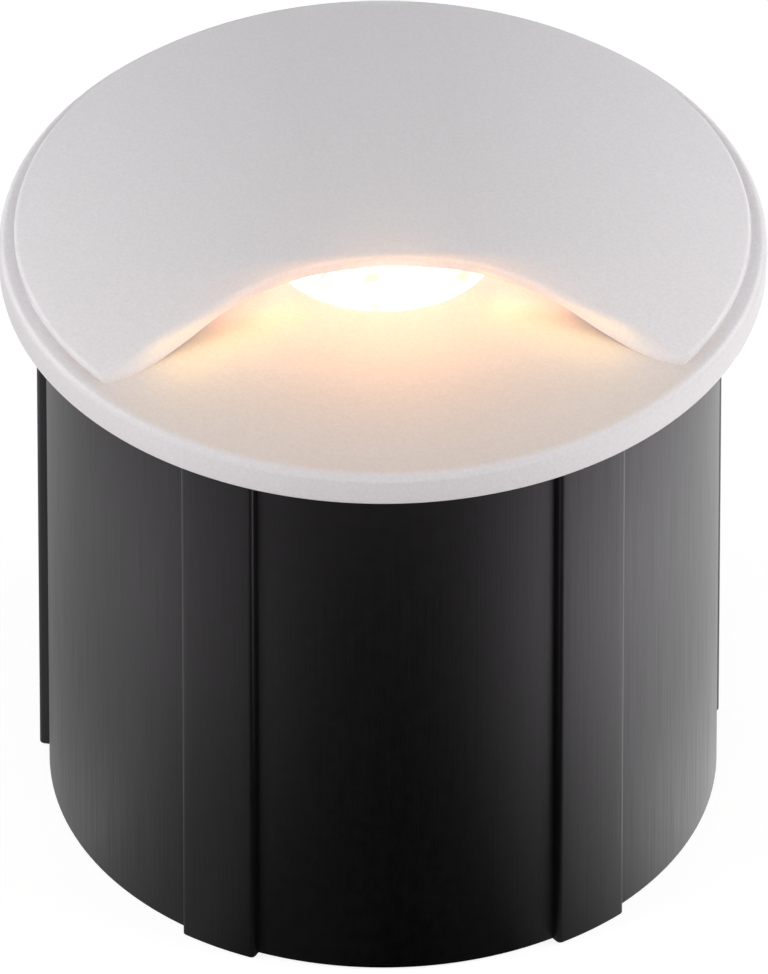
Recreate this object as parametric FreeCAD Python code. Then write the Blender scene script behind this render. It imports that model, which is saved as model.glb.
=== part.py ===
import FreeCAD, Part
import math
import os

os.makedirs("parts", exist_ok=True)

Vector = FreeCAD.Vector
origin = Vector(0, 0, 0)
up = Vector(0, 0, 1)

# Recessed path light: a lamp with a domed eyelid face, pushed into a black ribbed mounting sleeve.
# Z runs out of the wall, the sleeve's back end lies at Z zero, and light leaves towards -Y.

# Fits
body_gap = 0.3
slip_gap = 0.2
screw_gap = 0.05
overrun = 2.0
edge_match = 0.05

# Face disc
face_diameter = 80.0
flange_thickness = 3.5
flange_front_rounding = 0.75
flange_back_rounding = 0.3

# Eyelid hood
ledge_width = 1.6
hood_setback = 0.9
hood_edge_height = 0.6
hood_crown_rise = 4.4
hood_edge_rounding = 0.35
hood_wall = 1.1
cavity_share = 0.7
cavity_flank_height = 7.0
cavity_skirt_share = 0.8625
cavity_skirt_height = 2.9
lip_middle_rounding = 0.3
lip_corner_rounding = 1.8
lip_shares = [(0.0, 0.238), (0.208, 0.262), (0.36, 0.317), (0.4635, 0.379), (0.586, 0.471)]
lip_shares += [(0.695, 0.562), (0.76, 0.597), (0.86, 0.635), (1.02, 0.7)]

# Mounting sleeve
sleeve_length = 66.0
sleeve_share = 0.88
sleeve_wall = 2.0
sleeve_turn = 1.4
pad_angles = [-104.0, -33.0, 33.0, 104.0, 180.0]
pad_width = 8.5
pad_height_share = 0.229
pad_chamfer = 0.25

# Wall gasket
wall_gasket_shares = (0.354, 0.792)
wall_gasket_groove = 1.0

# Front lens and its gasket
lens_share = 0.3
lens_crown = 0.9
lens_flange_width = 3.0
lens_flange_thickness = 1.3
lens_hollow_share = 0.75
lens_hollow_depth = 1.2
lens_gasket_thickness = 0.8

# Lens retainer
retainer_thickness = 1.5
retainer_share = 0.754
retainer_lip = 0.8
retainer_screw_count = 3
retainer_screw_share = 0.673
retainer_screw_turn = 60.0
retainer_screw_depth = 1.7

# Screw sizes: shank radius, head radius, head height
small_screw = (1.0, 1.9, 1.3)
medium_screw = (1.25, 2.3, 1.6)
large_screw = (1.5, 2.8, 2.0)
socket_share = 0.5

# Lamp housing
rim_share = 0.943
barrel_share = 0.946
housing_wall = 2.4
front_rim_depth = 3.0
rear_rim_depth = 3.0
optics_depth = 10.8
partition_thickness = 4.5
fin_step = 10.0
fin_thickness = 1.4
fin_skip_angle = 14.0
housing_seal_inset = 1.1
housing_seal_width = 1.3
housing_seal_depth = 1.0

# Long screws that hold the face on the housing
post_radius = 3.0
post_pitch_share = 0.915
post_count = 3
post_turn = 60.0
bezel_screw_depth = 2.2

# Leaf springs
spring_count = 3
spring_width = 8.0
spring_thickness = 0.5
spring_side_clearance = 0.5
spring_slot_depth = 0.9
spring_tab_length = 6.0
spring_tail_length = 2.2
spring_screw_depth = 4.0
spring_end_clearance = 3.25

# Light source
thermal_pad_share = 0.588
thermal_pad_thickness = 0.5
substrate_share = 0.551
substrate_thickness = 1.0
phosphor_share = 0.165
phosphor_thickness = 0.6
holder_share = 0.47
holder_hole_share = 0.22
holder_height = 4.3
holder_screw_share = 0.386
holder_screw_depth = 2.5
reflector_base_share = 0.3125
reflector_base_thickness = 0.8
reflector_small_share = 0.213
reflector_large_share = 0.375
reflector_wall = 0.8

# Driver
board_clearance = 0.5
board_thickness = 1.6
board_drop = 11.5
driver_clearance = 1.9
standoff_radius = 2.4
standoff_pitch_share = 0.86
standoff_count = 3
board_screw_depth = 5.0
transformer_shares = (0.654, 0.561)
transformer_place_shares = (-0.42, 0.304)
transformer_height = 10.0
transformer_core_share = 0.28
transformer_core_rise = 1.0
capacitor_share = 0.187
capacitor_height = 10.5
capacitor_rounding = 0.7
capacitor_place_shares = (0.444, 0.467)
choke_share = 0.215
choke_hole_share = 0.089
choke_height = 5.0
choke_place_shares = (0.56, -0.14)
chip_shares = (0.28, 0.234)
chip_place_shares = (-0.187, 0.234)
chip_height = 1.6
terminal_shares = (0.7, 0.374)
terminal_place_shares = (0.047, -0.584)
terminal_height = 9.0
terminal_poles = 3
terminal_slot_share = 0.64
terminal_slot_depth_share = 0.5

# Lead passage through the partition
lead_place_share = -0.625
lead_spacing = 1.8
lead_radius = 0.6
lead_bend = 2.2
grommet_share = 0.0956
grommet_lip = 1.0
grommet_lip_height = 0.8

# Rear cover
cover_thickness = 2.8
cover_gasket_thickness = 0.8
cover_gasket_reach = 3.4
cover_hub_radius = 10.5
cover_hub_height = 1.2
cover_edge_rounding = 0.8
cover_screw_count = 4
cover_screw_share = 0.9265
cover_screw_turn = 45.0
cover_boss_radius = 2.9
cover_boss_length = 10.0
cover_screw_depth = 7.0

# Cable gland
nut_sides = 6
gland_thread_radius = 6.0
gland_bore_radius = 3.9
gland_hex_width = 15.0
gland_hex_height = 3.6
gland_collar_radius = 6.3
gland_collar_height = 4.2
gland_washer_thickness = 0.8
gland_washer_radius = 8.2
gland_nut_width = 15.0
gland_nut_end = 1.4
gland_locknut_height = 3.0
seal_bore_radius = 3.25
seal_length = 6.0

# Radii, worked inwards from the face
face_radius = face_diameter / 2
hood_radius = face_radius - ledge_width
cavity_radius = face_radius * cavity_share
cavity_skirt_radius = face_radius * cavity_skirt_share
lens_radius = face_radius * lens_share
lens_hollow_radius = lens_radius * lens_hollow_share
lens_flange_radius = lens_radius + lens_flange_width
sleeve_radius = face_radius * sleeve_share
sleeve_bore_radius = sleeve_radius - sleeve_wall
face_overhang = face_radius - sleeve_radius
pad_height = face_overhang * pad_height_share
wall_gasket_inner_radius = sleeve_radius + face_overhang * wall_gasket_shares[0]
wall_gasket_outer_radius = sleeve_radius + face_overhang * wall_gasket_shares[1]
rim_radius = sleeve_bore_radius * rim_share
housing_radius = rim_radius * barrel_share
housing_inner_radius = housing_radius - housing_wall
housing_seal_inner_radius = housing_radius - housing_seal_inset
housing_seal_outer_radius = housing_seal_inner_radius + housing_seal_width
spring_seat_radius = housing_radius - spring_slot_depth
spring_slot_width = spring_width + spring_side_clearance * 2
post_pitch_radius = housing_inner_radius * post_pitch_share
retainer_radius = housing_inner_radius * retainer_share
retainer_hole_radius = lens_radius - retainer_lip
retainer_screw_pitch_radius = housing_inner_radius * retainer_screw_share
thermal_pad_size = housing_inner_radius * thermal_pad_share
substrate_size = housing_inner_radius * substrate_share
phosphor_radius = housing_inner_radius * phosphor_share
holder_radius = housing_inner_radius * holder_share
holder_hole_radius = housing_inner_radius * holder_hole_share
holder_screw_offset = housing_inner_radius * holder_screw_share
reflector_base_radius = housing_inner_radius * reflector_base_share
reflector_small_radius = housing_inner_radius * reflector_small_share
reflector_large_radius = housing_inner_radius * reflector_large_share
grommet_hole_radius = housing_inner_radius * grommet_share
lead_place = housing_inner_radius * lead_place_share
cover_screw_pitch_radius = housing_inner_radius * cover_screw_share
cover_gasket_inner_radius = cover_screw_pitch_radius - cover_gasket_reach
board_radius = post_pitch_radius - post_radius - board_clearance
standoff_pitch_radius = board_radius * standoff_pitch_share
capacitor_radius = board_radius * capacitor_share
choke_radius = board_radius * choke_share
choke_hole_radius = board_radius * choke_hole_share
gland_pocket_radius = (gland_collar_radius + gland_bore_radius) / 2

# Levels along the axis
wall_level = sleeve_length
flange_back = wall_level + body_gap
floor_level = flange_back + flange_thickness
lens_flange_top = flange_back + lens_flange_thickness
lens_ceiling = lens_flange_top + lens_gasket_thickness
retainer_back = flange_back - retainer_thickness
platform_level = flange_back - optics_depth
substrate_back = platform_level + thermal_pad_thickness
substrate_front = substrate_back + substrate_thickness
holder_front = platform_level + holder_height
partition_back = platform_level - partition_thickness
board_front = partition_back - board_drop
board_back = board_front - board_thickness
transformer_back = board_back - transformer_height - transformer_core_rise
cover_front = transformer_back - driver_clearance - gland_locknut_height
housing_back = cover_front + cover_gasket_thickness
housing_length = flange_back - housing_back
cover_back = cover_front - cover_thickness
hub_back = cover_back - cover_hub_height
washer_back = hub_back - gland_washer_thickness
gland_hex_back = washer_back - gland_hex_height
gland_collar_back = gland_hex_back - gland_collar_height


def disc(radius, low, high, x=0, y=0):
    return Part.makeCylinder(radius, high - low, Vector(x, y, low))


def ring(outer, inner, low, high):
    return disc(outer, low, high).cut(disc(inner, low - overrun, high + overrun))


def block(size_x, size_y, low, high, x=0, y=0):
    return Part.makeBox(size_x, size_y, high - low, Vector(x - size_x / 2, y - size_y / 2, low))


def hexagon(width, low, high):
    corner = width / (2 * math.cos(math.pi / nut_sides))
    angles = [2 * math.pi * step / nut_sides for step in range(nut_sides + 1)]
    points = [Vector(corner * math.cos(a), corner * math.sin(a), low) for a in angles]
    return Part.Face(Part.makePolygon(points)).extrude(up * (high - low))


def round_about(radius, count, first_angle=0.0):
    angles = [math.radians(first_angle + 360.0 * step / count) for step in range(count)]
    return [(radius * math.cos(a), radius * math.sin(a)) for a in angles]


def turned(shape, angle):
    copy = shape.copy()
    copy.rotate(origin, up, angle)
    return copy


def joined(solids):
    return solids[0].fuse(solids[1:]).removeSplitter() if len(solids) > 1 else solids[0]


def save(name, solids):
    shape = solids[0] if len(solids) == 1 else Part.makeCompound(solids)
    shape.exportStep("parts/" + name + ".step")
    state = "valid" if shape.isValid() else "INVALID"
    print(name, len(shape.Solids), "solid(s)", round(shape.Volume, 1), "mm3", state)


def revolve_profile(edges):
    return Part.Face(Part.Wire(edges)).revolve(origin, up, 360)


def line(start, end):
    return Part.LineSegment(start, end).toShape()


def arc(start, middle, end):
    return Part.Arc(start, middle, end).toShape()


def corner_arc(centre_x, centre_z, radius, angle_from, angle_to):
    places = []
    for angle in (angle_from, (angle_from + angle_to) / 2, angle_to):
        turn = math.radians(angle)
        places.append(Vector(centre_x + radius * math.cos(turn), 0, centre_z + radius * math.sin(turn)))
    return arc(*places)


def screw(size, x, y, seat, length, head_up=False):
    """A pan head screw with a cross socket, its head behind the seat or in front of it."""
    shank_radius, head_radius, head_height = size
    head_low = seat if head_up else seat - head_height
    shank_low = seat - length if head_up else seat
    body = disc(head_radius, head_low, head_low + head_height, x, y)
    body = body.fuse(disc(shank_radius, shank_low, shank_low + length, x, y)).removeSplitter()
    socket_depth = head_height * socket_share
    socket_low = head_low + head_height - socket_depth if head_up else head_low - overrun
    socket_high = head_low + head_height + overrun if head_up else head_low + socket_depth
    slot_length = head_radius * 2 * socket_share
    slot_width = slot_length * socket_share
    socket = block(slot_length, slot_width, socket_low, socket_high, x, y)
    socket = socket.fuse(block(slot_width, slot_length, socket_low, socket_high, x, y))
    return body.cut(socket)


def screw_holes(size, places, low, high):
    return [disc(size[0] + screw_gap, low, high, x, y) for x, y in places]


# The crown is part of a sphere, and the hood's edge and the flange's edge are rounded by arcs.
def cap_radius(base_radius, rise):
    return (base_radius ** 2 + rise ** 2) / (2 * rise)


def crown_top():
    return floor_level + hood_edge_height + hood_crown_rise


def hood_outline():
    """Half section of the hood without its mouth: crown, rounded border and short upright wall."""
    crown = cap_radius(hood_radius, hood_crown_rise)
    crown_centre = crown_top() - crown
    rounding_x = hood_radius - hood_edge_rounding
    rounding_z = crown_centre + math.sqrt((crown - hood_edge_rounding) ** 2 - rounding_x ** 2)
    reach = crown / (crown - hood_edge_rounding)
    tangent = Vector(rounding_x * reach, 0, crown_centre + (rounding_z - crown_centre) * reach)
    tangent_angle = math.degrees(math.atan2(rounding_z - crown_centre, rounding_x))
    half_angle = math.radians((90 + tangent_angle) / 2)
    crown_middle = Vector(crown * math.cos(half_angle), 0, crown_centre + crown * math.sin(half_angle))
    edges = [arc(Vector(0, 0, crown_top()), crown_middle, tangent)]
    edges.append(corner_arc(rounding_x, rounding_z, hood_edge_rounding, tangent_angle, 0))
    edges.append(line(Vector(hood_radius, 0, rounding_z), Vector(hood_radius, 0, floor_level)))
    edges.append(line(Vector(hood_radius, 0, floor_level), Vector(0, 0, floor_level)))
    edges.append(line(Vector(0, 0, floor_level), Vector(0, 0, crown_top())))
    return edges


def flange_outline():
    front_z = floor_level - flange_front_rounding
    back_z = flange_back + flange_back_rounding
    edges = [line(Vector(0, 0, floor_level), Vector(face_radius - flange_front_rounding, 0, floor_level))]
    edges.append(corner_arc(face_radius - flange_front_rounding, front_z, flange_front_rounding, 90, 0))
    edges.append(line(Vector(face_radius, 0, front_z), Vector(face_radius, 0, back_z)))
    edges.append(corner_arc(face_radius - flange_back_rounding, back_z, flange_back_rounding, 0, -90))
    back_corner = Vector(face_radius - flange_back_rounding, 0, flange_back)
    edges.append(line(back_corner, Vector(0, 0, flange_back)))
    edges.append(line(Vector(0, 0, flange_back), Vector(0, 0, floor_level)))
    return edges


def lip_curve(level):
    """Half of the lip seen from the front: an arch that runs out sideways past the hood's border."""
    points = [Vector(hood_radius * x, -hood_radius * y, level) for x, y in lip_shares]
    curve = Part.BSplineCurve()
    curve.interpolate(points, InitialTangent=Vector(1, 0, 0), FinalTangent=points[-1] - points[-2])
    return curve.toShape(), points


def behind_lip():
    """Half of what lies behind the lip, from under the floor to above the crown."""
    low = floor_level - overrun
    edge, points = lip_curve(low)
    corner = Vector(points[-1].x, face_diameter, low)
    middle = Vector(0, face_diameter, low)
    sides = [line(points[-1], corner), line(corner, middle), line(middle, points[0])]
    wire = Part.Wire([edge] + sides)
    return Part.Face(wire).extrude(up * (crown_top() - low + overrun))


def cavity():
    """The hollow follows the crown one wall below it, inside a steep cap and a shallow skirt."""
    crown = cap_radius(hood_radius, hood_crown_rise)
    ceiling = Part.makeSphere(crown - hood_wall, Vector(0, hood_setback, crown_top() - crown))
    flank = cap_radius(cavity_radius, cavity_flank_height)
    sides = Part.makeSphere(flank, Vector(0, 0, floor_level + cavity_flank_height - flank))
    skirt = Part.makeCone(cavity_skirt_radius, 0, cavity_skirt_height, Vector(0, 0, floor_level))
    return disc(face_radius, floor_level, crown_top()).common(ceiling).common(sides.fuse(skirt))


def eyelid():
    """The lip is rounded on half of a wider crown, more towards its corner. The half is mirrored,
    and the hood's own outline then trims the crown."""
    crown = cap_radius(hood_radius, hood_crown_rise)
    ball = Part.makeSphere(crown, Vector(0, hood_setback, crown_top() - crown))
    half = behind_lip().common(ball)
    curve = lip_curve(0)[0]
    for edge in half.Edges:
        middle = edge.valueAt((edge.FirstParameter + edge.LastParameter) / 2)
        beside = curve.distToShape(Part.Vertex(middle.x, middle.y, 0))[0]
        on_lip = beside < edge_match < middle.x
        if on_lip and middle.z > floor_level + hood_edge_height:
            lip = edge
    radii = [lip_middle_rounding, lip_corner_rounding]
    if lip.Vertexes[0].X > lip.Vertexes[-1].X:
        radii.reverse()
    half = half.makeFillet(radii[0], radii[1], [lip])
    wide = joined([half, half.mirror(origin, Vector(1, 0, 0))])
    outline = revolve_profile(hood_outline())
    outline.translate(Vector(0, hood_setback, 0))
    return wide.common(outline).cut(cavity())


def hooded_bezel():
    """The die-cast face: flange, floor and eyelid in one piece, machined from behind."""
    body = joined([revolve_profile(flange_outline()), eyelid()])
    cuts = [disc(lens_radius + slip_gap, flange_back - overrun, floor_level)]
    cuts.append(disc(lens_flange_radius + slip_gap, flange_back - overrun, lens_ceiling))
    groove_top = flange_back + wall_gasket_groove
    holes_low = flange_back - overrun
    cuts.append(ring(wall_gasket_outer_radius, wall_gasket_inner_radius, holes_low, groove_top))
    cuts += screw_holes(small_screw, retainer_places(), holes_low, flange_back + retainer_screw_depth)
    cuts += screw_holes(large_screw, post_places(), holes_low, flange_back + bezel_screw_depth)
    return body.cut(cuts)


def mounting_sleeve():
    """An extruded tube with raised pads, counted from the mouth, that steady it in the wall's hole."""
    tube = ring(sleeve_radius, sleeve_bore_radius, 0, sleeve_length)
    reach = sleeve_radius + pad_height
    half = pad_width / 2
    root = sleeve_radius - sleeve_wall / 2
    shoulder = half - pad_chamfer
    edge_x = math.sqrt(reach ** 2 - half ** 2) - pad_chamfer
    crown_x = math.sqrt(reach ** 2 - shoulder ** 2)
    sides = [Vector(crown_x, shoulder, 0), Vector(edge_x, half, 0), Vector(root, half, 0)]
    sides += [Vector(root, -half, 0), Vector(edge_x, -half, 0), Vector(crown_x, -shoulder, 0)]
    edges = [line(sides[step], sides[step + 1]) for step in range(len(sides) - 1)]
    edges.append(arc(sides[-1], Vector(reach, 0, 0), sides[0]))
    pad = Part.Face(Part.Wire(edges)).extrude(up * sleeve_length)
    return joined([tube] + [turned(pad, angle + sleeve_turn - 90.0) for angle in pad_angles])


def wall_gasket():
    groove_top = flange_back + wall_gasket_groove
    return ring(wall_gasket_outer_radius, wall_gasket_inner_radius, wall_level, groove_top)


def front_lens():
    neck = disc(lens_radius, flange_back, floor_level)
    flange = disc(lens_flange_radius, flange_back, lens_flange_top)
    crown = cap_radius(lens_radius, lens_crown)
    dome = Part.makeSphere(crown, Vector(0, 0, floor_level + lens_crown - crown))
    dome = dome.common(disc(lens_radius, floor_level, floor_level + lens_crown + overrun))
    hollow_ball = cap_radius(lens_hollow_radius, lens_hollow_depth)
    hollow = Part.makeSphere(hollow_ball, Vector(0, 0, flange_back + lens_hollow_depth - hollow_ball))
    hollow = hollow.common(disc(lens_hollow_radius + overrun, flange_back - overrun, floor_level))
    return joined([neck, flange, dome]).cut(hollow)


def lens_gasket():
    return ring(lens_flange_radius, lens_radius + slip_gap, lens_flange_top, lens_ceiling)


def retainer_places():
    return round_about(retainer_screw_pitch_radius, retainer_screw_count, retainer_screw_turn)


def lens_retainer():
    plate = ring(retainer_radius, retainer_hole_radius, retainer_back, flange_back)
    low = retainer_back - overrun
    return plate.cut(screw_holes(small_screw, retainer_places(), low, flange_back + overrun))


def retainer_screws():
    length = retainer_thickness + retainer_screw_depth - slip_gap
    return [screw(small_screw, x, y, retainer_back, length) for x, y in retainer_places()]


def reflector():
    """A spun cup that opens from the light source to the lens."""
    base_top = holder_front + reflector_base_thickness
    mouth = flange_back - slip_gap / 2
    foot = Vector(0, 0, base_top)
    cone_in = Part.makeCone(reflector_small_radius, reflector_large_radius, mouth - base_top, foot)
    small_out = reflector_small_radius + reflector_wall
    large_out = reflector_large_radius + reflector_wall
    cone_out = Part.makeCone(small_out, large_out, mouth - base_top, foot)
    base = ring(reflector_base_radius, reflector_small_radius, holder_front, base_top)
    return joined([cone_out.cut(cone_in), base])


def holder_places():
    return [(-holder_screw_offset, 0), (holder_screw_offset, 0)]


def led_holder():
    body = ring(holder_radius, holder_hole_radius, platform_level, holder_front)
    pocket_size = thermal_pad_size + slip_gap
    low = platform_level - overrun
    body = body.cut(block(pocket_size, pocket_size, low, substrate_front))
    return body.cut(screw_holes(small_screw, holder_places(), low, holder_front + overrun))


def holder_screws():
    length = holder_height + holder_screw_depth - slip_gap
    return [screw(small_screw, x, y, holder_front, length, True) for x, y in holder_places()]


def post_places():
    return round_about(post_pitch_radius, post_count, post_turn)


def standoff_places():
    return round_about(standoff_pitch_radius, standoff_count)


def cover_places():
    return round_about(cover_screw_pitch_radius, cover_screw_count, cover_screw_turn)


def housing_fins():
    """Straight cooling fins between the two rims, left out where the leaf springs lie."""
    fin_length = rim_radius - housing_radius + housing_wall / 2
    corner = Vector(rim_radius - fin_length, -fin_thickness / 2, housing_back)
    fin = Part.makeBox(fin_length, fin_thickness, housing_length, corner)
    spring_step = 360.0 / spring_count
    fins = []
    for step in range(round(360.0 / fin_step)):
        angle = fin_step * step
        past_spring = angle % spring_step
        if min(past_spring, spring_step - past_spring) > fin_skip_angle:
            fins.append(turned(fin, angle - 90))
    return fins


def housing_outside():
    barrel = disc(housing_radius, housing_back, flange_back)
    front_rim = disc(rim_radius, flange_back - front_rim_depth, flange_back)
    rear_rim = disc(rim_radius, housing_back, housing_back + rear_rim_depth)
    return joined([barrel, front_rim, rear_rim] + housing_fins())


def spring_slot():
    """The flat along the housing, open at the back, in which a leaf spring lies below the front rim."""
    depth = rim_radius - spring_seat_radius + overrun
    length = housing_length - front_rim_depth + overrun
    corner = Vector(spring_seat_radius, -spring_slot_width / 2, housing_back - overrun)
    return Part.makeBox(depth, spring_slot_width, length, corner)


def spring_level():
    return (platform_level + partition_back) / 2


def on_springs(shape):
    return [turned(shape, -90 + 360.0 * step / spring_count) for step in range(spring_count)]


def radial_pin(radius, low, high, level):
    return Part.makeCylinder(radius, high - low, Vector(low, 0, level), Vector(1, 0, 0))


def lamp_housing():
    """The finned die-cast barrel: an optics cup in front, a partition, and a driver bay behind it."""
    body = housing_outside()
    body = body.cut(disc(housing_inner_radius, platform_level, flange_back + overrun))
    body = body.cut(disc(housing_inner_radius, housing_back - overrun, partition_back))
    posts = [disc(post_radius, partition_back, flange_back, x, y) for x, y in post_places()]
    posts += [disc(standoff_radius, board_front, platform_level, x, y) for x, y in standoff_places()]
    boss_top = housing_back + cover_boss_length
    posts += [disc(cover_boss_radius, housing_back, boss_top, x, y) for x, y in cover_places()]
    outside = disc(housing_radius, housing_back, flange_back)
    body = joined([body] + [post.common(outside) for post in posts])
    cuts = on_springs(spring_slot())
    seal_low = flange_back - housing_seal_depth
    past_front = flange_back + overrun
    cuts.append(ring(housing_seal_outer_radius, housing_seal_inner_radius, seal_low, past_front))
    cuts += screw_holes(large_screw, post_places(), partition_back - overrun, past_front)
    head_radius = large_screw[1] + screw_gap
    behind = housing_back - overrun
    cuts += [disc(head_radius, behind, partition_back, x, y) for x, y in post_places()]
    holder_low = platform_level - holder_screw_depth
    cuts += screw_holes(small_screw, holder_places(), holder_low, platform_level + overrun)
    board_high = board_front + board_screw_depth
    cuts += screw_holes(medium_screw, standoff_places(), board_front - overrun, board_high)
    cover_high = housing_back + cover_screw_depth
    cuts += screw_holes(medium_screw, cover_places(), housing_back - overrun, cover_high)
    hole_low = spring_seat_radius - spring_screw_depth
    cuts += on_springs(radial_pin(medium_screw[0] + screw_gap, hole_low, rim_radius, spring_level()))
    passage_low = partition_back - overrun
    passage_high = platform_level + overrun
    cuts.append(disc(grommet_hole_radius, passage_low, passage_high, 0, lead_place))
    return body.cut(cuts)


def housing_seal():
    low = flange_back - housing_seal_depth
    return ring(housing_seal_outer_radius, housing_seal_inner_radius, low, flange_back)


def bezel_screws():
    length = flange_back - partition_back + bezel_screw_depth - slip_gap
    return [screw(large_screw, x, y, partition_back, length) for x, y in post_places()]


def spring_clip():
    """A bowed leaf: screwed down at its front end, free to slide on the housing at its rear end."""
    seat = spring_seat_radius
    face = seat + spring_thickness
    apex = math.sqrt((sleeve_bore_radius - body_gap) ** 2 - (spring_width / 2) ** 2)
    tab_top = spring_level() + spring_tab_length / 2
    bow_top = tab_top - spring_tab_length
    tail_low = housing_back + spring_end_clearance
    bow_low = tail_low + spring_tail_length
    bow_middle = (bow_top + bow_low) / 2
    edges = [line(Vector(seat, 0, tab_top), Vector(face, 0, tab_top))]
    edges.append(line(Vector(face, 0, tab_top), Vector(face, 0, bow_top)))
    edges.append(arc(Vector(face, 0, bow_top), Vector(apex, 0, bow_middle), Vector(face, 0, bow_low)))
    edges.append(line(Vector(face, 0, bow_low), Vector(face, 0, tail_low)))
    edges.append(line(Vector(face, 0, tail_low), Vector(seat, 0, tail_low)))
    edges.append(line(Vector(seat, 0, tail_low), Vector(seat, 0, bow_low)))
    inner_apex = Vector(apex - spring_thickness, 0, bow_middle)
    edges.append(arc(Vector(seat, 0, bow_low), inner_apex, Vector(seat, 0, bow_top)))
    edges.append(line(Vector(seat, 0, bow_top), Vector(seat, 0, tab_top)))
    leaf = Part.Face(Part.Wire(edges)).extrude(Vector(0, spring_width, 0))
    leaf.translate(Vector(0, -spring_width / 2, 0))
    return leaf.cut(radial_pin(medium_screw[0] + screw_gap, seat - overrun, rim_radius, spring_level()))


def spring_screw():
    shank_radius, head_radius, head_height = medium_screw
    seat = spring_seat_radius + spring_thickness
    tip = spring_seat_radius - spring_screw_depth + slip_gap
    head = radial_pin(head_radius, seat, seat + head_height, spring_level())
    body = head.fuse(radial_pin(shank_radius, tip, seat, spring_level())).removeSplitter()
    slot_width = head_radius * socket_share
    slot_low = Vector(seat + head_height * socket_share, -head_radius, spring_level() - slot_width / 2)
    return body.cut(Part.makeBox(head_height, head_radius * 2, slot_width, slot_low))


def driver_board():
    board = disc(board_radius, board_back, board_front)
    low = board_back - overrun
    return board.cut(screw_holes(medium_screw, standoff_places(), low, board_front + overrun))


def board_screws():
    length = board_thickness + board_screw_depth - slip_gap
    return [screw(medium_screw, x, y, board_back, length) for x, y in standoff_places()]


def on_board(shares):
    return [board_radius * share for share in shares]


def transformer():
    size_x, size_y = on_board(transformer_shares)
    x, y = on_board(transformer_place_shares)
    core = block(size_x, size_y, board_back - transformer_height, board_back, x, y)
    clamp_width = board_radius * transformer_core_share
    clamp = block(clamp_width, size_y, transformer_back, board_back, x, y)
    return joined([core, clamp])


def capacitor():
    x, y = on_board(capacitor_place_shares)
    low = board_back - capacitor_height
    can = disc(capacitor_radius, low, board_back, x, y)
    rim = [edge for edge in can.Edges if edge.BoundBox.ZMax < low + edge_match]
    return can.makeFillet(capacitor_rounding, rim)


def choke():
    x, y = on_board(choke_place_shares)
    low = board_back - choke_height
    core = disc(choke_radius, low, board_back, x, y)
    return core.cut(disc(choke_hole_radius, low - overrun, board_back + overrun, x, y))


def driver_chip():
    size_x, size_y = on_board(chip_shares)
    return block(size_x, size_y, board_front, board_front + chip_height, *on_board(chip_place_shares))


def terminal_block():
    size_x, size_y = on_board(terminal_shares)
    x, y = on_board(terminal_place_shares)
    body = block(size_x, size_y, board_back - terminal_height, board_back, x, y)
    pole = size_x / terminal_poles
    slot_size = pole * terminal_slot_share
    slot_low = board_back - (terminal_height + slot_size) / 2
    slot_high = slot_low + slot_size
    slot_reach = size_y * terminal_slot_depth_share * 2
    slot_y = y + size_y / 2
    for step in range(terminal_poles):
        slot_x = x - size_x / 2 + pole * (step + 0.5)
        entry = block(slot_size, slot_reach, slot_low, slot_high, slot_x, slot_y)
        body = body.cut(entry)
    return body


def lead_grommet():
    """A rubber bush in the partition, with a lip on each side and two holes for the leads."""
    low = partition_back - grommet_lip_height
    high = platform_level + grommet_lip_height
    core = disc(grommet_hole_radius, low, high, 0, lead_place)
    lip_radius = grommet_hole_radius + grommet_lip
    rear_lip = disc(lip_radius, low, partition_back, 0, lead_place)
    front_lip = disc(lip_radius, platform_level, high, 0, lead_place)
    bush = joined([core, rear_lip, front_lip])
    for side in (-1, 1):
        hole_x = side * lead_spacing / 2
        bush = bush.cut(disc(lead_radius + screw_gap, low - overrun, high + overrun, hole_x, lead_place))
    return bush


def led_lead(side):
    """A lead rises from the board through the grommet and bends into the side of the holder."""
    x = side * lead_spacing / 2
    entry_level = (substrate_front + holder_front) / 2
    bend_start = Vector(x, lead_place, entry_level - lead_bend)
    corner_share = 1 - math.sqrt(0.5)
    bend_middle = Vector(x, lead_place + lead_bend * corner_share, entry_level - lead_bend * corner_share)
    bend_end = Vector(x, lead_place + lead_bend, entry_level)
    start = Vector(x, lead_place, board_front)
    edges = [line(start, bend_start), arc(bend_start, bend_middle, bend_end)]
    edges.append(line(bend_end, Vector(x, -holder_radius, entry_level)))
    profile = Part.Wire(Part.makeCircle(lead_radius, start, up))
    return Part.Wire(edges).makePipeShell([profile], True, True)


def rear_cover():
    plate = disc(rim_radius, cover_back, cover_front)
    rear_edge = [edge for edge in plate.Edges if edge.BoundBox.ZMax < cover_back + edge_match]
    plate = plate.makeFillet(cover_edge_rounding, rear_edge)
    plate = joined([plate, disc(cover_hub_radius, hub_back, cover_front)])
    cuts = [disc(gland_thread_radius + screw_gap, hub_back - overrun, cover_front + overrun)]
    cuts += screw_holes(medium_screw, cover_places(), cover_back - overrun, cover_front + overrun)
    return plate.cut(cuts)


def rear_gasket():
    sheet = ring(housing_radius, cover_gasket_inner_radius, cover_front, housing_back)
    low = cover_front - overrun
    return sheet.cut(screw_holes(medium_screw, cover_places(), low, housing_back + overrun))


def cover_screws():
    length = cover_thickness + cover_gasket_thickness + cover_screw_depth - slip_gap
    return [screw(medium_screw, x, y, cover_back, length) for x, y in cover_places()]


def gland_body():
    """A threaded tube with a hexagon outside the cover and a clamping collar for the seal."""
    thread_top = cover_front + gland_locknut_height + screw_gap
    tube = disc(gland_thread_radius, washer_back, thread_top)
    hexagon_part = hexagon(gland_hex_width, gland_hex_back, washer_back)
    collar = disc(gland_collar_radius, gland_collar_back, gland_hex_back)
    body = joined([tube, hexagon_part, collar])
    body = body.cut(disc(gland_bore_radius, gland_collar_back - overrun, thread_top + overrun))
    seal_top = gland_collar_back + seal_length
    return body.cut(disc(gland_pocket_radius, gland_collar_back - overrun, seal_top))


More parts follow.
